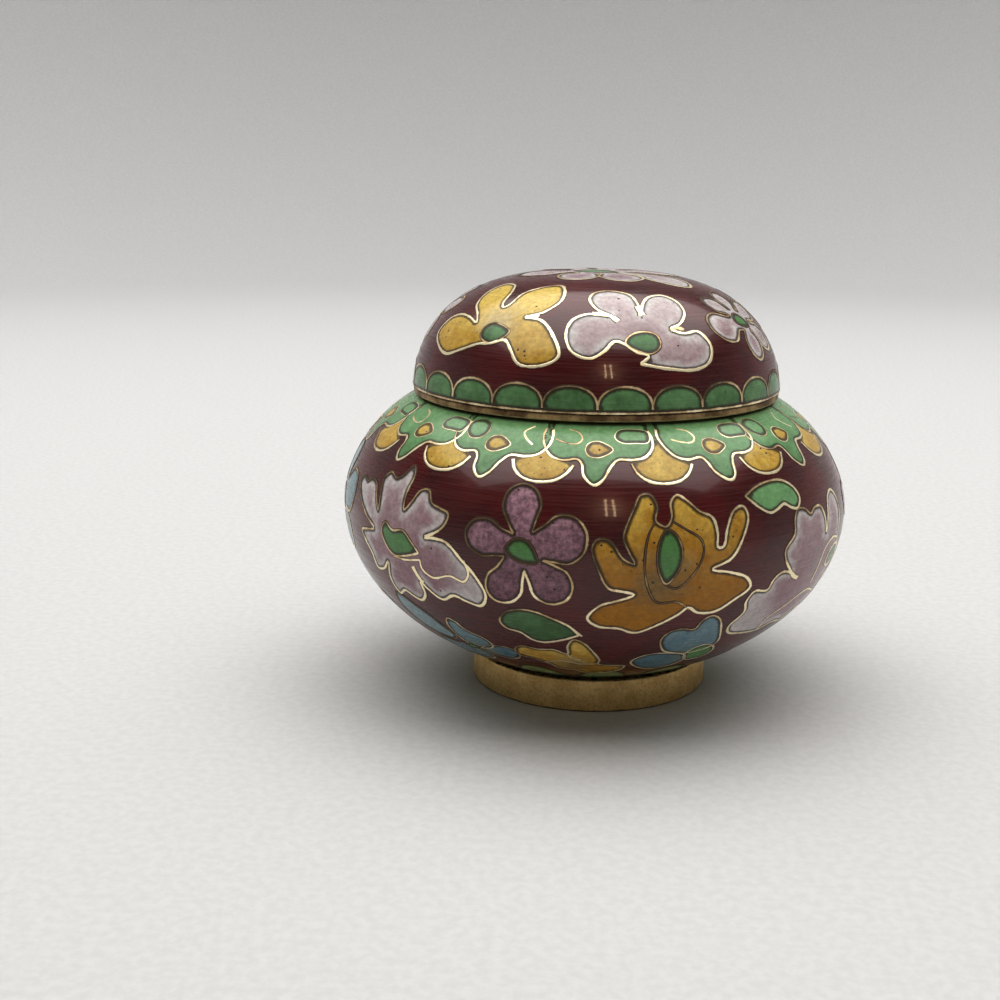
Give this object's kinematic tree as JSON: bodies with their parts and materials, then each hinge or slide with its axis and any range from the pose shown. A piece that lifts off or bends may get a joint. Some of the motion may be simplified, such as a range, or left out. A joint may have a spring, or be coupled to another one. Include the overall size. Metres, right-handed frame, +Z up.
{
  "type": "cloisonne lidded jar",
  "caption": "Squat round enamelled jar with inlaid wire flowers on a dark red ground, a brass foot ring and a domed lift-off lid.",
  "frame": {"origin": "centre of the foot ring's underside, on the axis of every piece", "axes": "+Z up along the axis of the jar; -Y is the side that faces the viewer"},
  "size_m": [0.064, 0.064, 0.0529],
  "materials": {
    "enamel_ground": "gloss",
    "brass": "satin, worn",
    "inlay_wire": "polished, worn",
    "enamel_green": "gloss, pitted",
    "enamel_yellow": "gloss, pitted",
    "enamel_pink": "gloss, pitted",
    "enamel_purple": "gloss, pitted",
    "enamel_blue": "gloss, pitted",
    "enamel_lining": "gloss"
  },
  "bodies": {
    "root": {"vessel": "enamel_ground", "foot_ring": "brass", "neck_collar": "brass", "lid_rim": "brass", "lid": "enamel_ground"}
  },
  "joints": []
}
